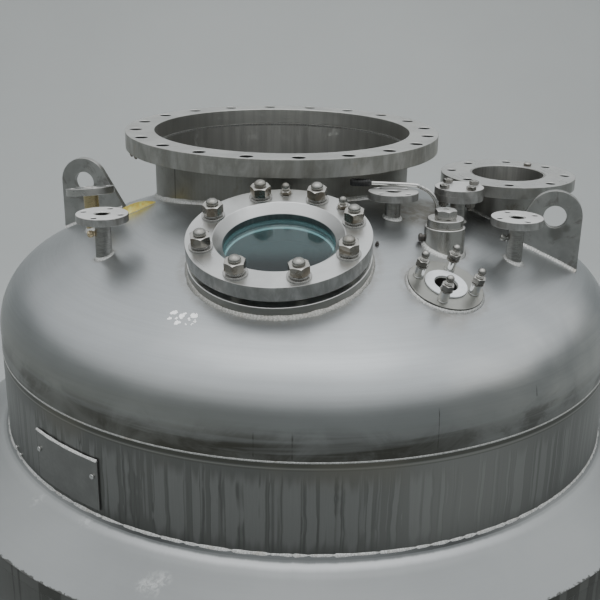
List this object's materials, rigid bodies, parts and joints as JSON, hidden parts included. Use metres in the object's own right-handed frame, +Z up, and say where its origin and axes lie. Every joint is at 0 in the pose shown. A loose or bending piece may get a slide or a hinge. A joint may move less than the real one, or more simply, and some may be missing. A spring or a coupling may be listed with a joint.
{
  "type": "jacketed stainless steel process tank",
  "caption": "Jacketed stainless steel process tank on pipe legs, with a dished top head carrying a flanged manhole, sight glass, small nozzles and lifting lugs.",
  "frame": {"origin": "tank axis at floor level, the centre of the underside of its bounding box", "axes": "+Z up along the tank axis; -Y faces the pictured side; +X is to the right of a viewer at -Y"},
  "size_m": [1.672, 1.672, 2.8244],
  "materials": {
    "head_steel": "satin brushed, circumferential",
    "streaked_steel": "dull with run-down streaks",
    "shoulder_steel": "smooth satin",
    "jacket_steel": "dull with run-down streaks",
    "neck_steel": "rolled pipe, satin",
    "turned_steel": "turned, fine concentric marks",
    "plate_steel": "flat mill finish",
    "leg_steel": "satin pipe",
    "bolt_steel": "threaded, slightly tarnished",
    "sight_glass": "clear, faintly green-blue",
    "gasket_rubber": "matte",
    "gasket_ptfe": "smooth white",
    "grip_plastic": "satin black"
  },
  "bodies": {
    "root": {"top_head": "head_steel", "upper_course": "streaked_steel", "vessel_shell": "streaked_steel", "vessel_bottom_head": "streaked_steel", "jacket_shoulder": "shoulder_steel", "jacket_shell": "jacket_steel", "jacket_bottom_head": "jacket_steel", "manhole_neck": "neck_steel", "manhole_flange": "turned_steel", "side_nozzle_neck": "neck_steel", "side_nozzle_flange": "turned_steel", "right_nozzle_neck": "neck_steel", "right_nozzle_flange": "turned_steel", "left_nozzle_neck": "neck_steel", "left_nozzle_flange": "turned_steel", "rear_left_nozzle_neck": "neck_steel", "rear_left_nozzle_flange": "turned_steel", "middle_nozzle_neck": "neck_steel", "middle_nozzle_flange": "turned_steel", "capped_nozzle_neck": "neck_steel", "capped_nozzle_flange": "turned_steel", "blind_cover": "turned_steel", "sight_glass_base": "turned_steel", "sight_glass_gasket": "gasket_rubber", "sight_glass_disc": "sight_glass", "sight_glass_cover": "turned_steel", "pad_ring": "turned_steel", "pad_gasket": "gasket_ptfe", "pad_stud_1": "bolt_steel", "pad_stud_2": "bolt_steel", "pad_stud_3": "bolt_steel", "pad_stud_4": "bolt_steel", "boss_body": "turned_steel", "boss_plug": "turned_steel", "lifting_lug_right": "plate_steel", "lifting_lug_left": "plate_steel", "bent_handle": "turned_steel", "handle_grip": "grip_plastic", "nameplate_bracket": "streaked_steel", "outlet_neck": "neck_steel", "outlet_flange": "turned_steel", "leg_front_right": "leg_steel", "leg_rear_right": "leg_steel", "leg_rear_left": "leg_steel", "leg_front_left": "leg_steel"}
  },
  "joints": []
}
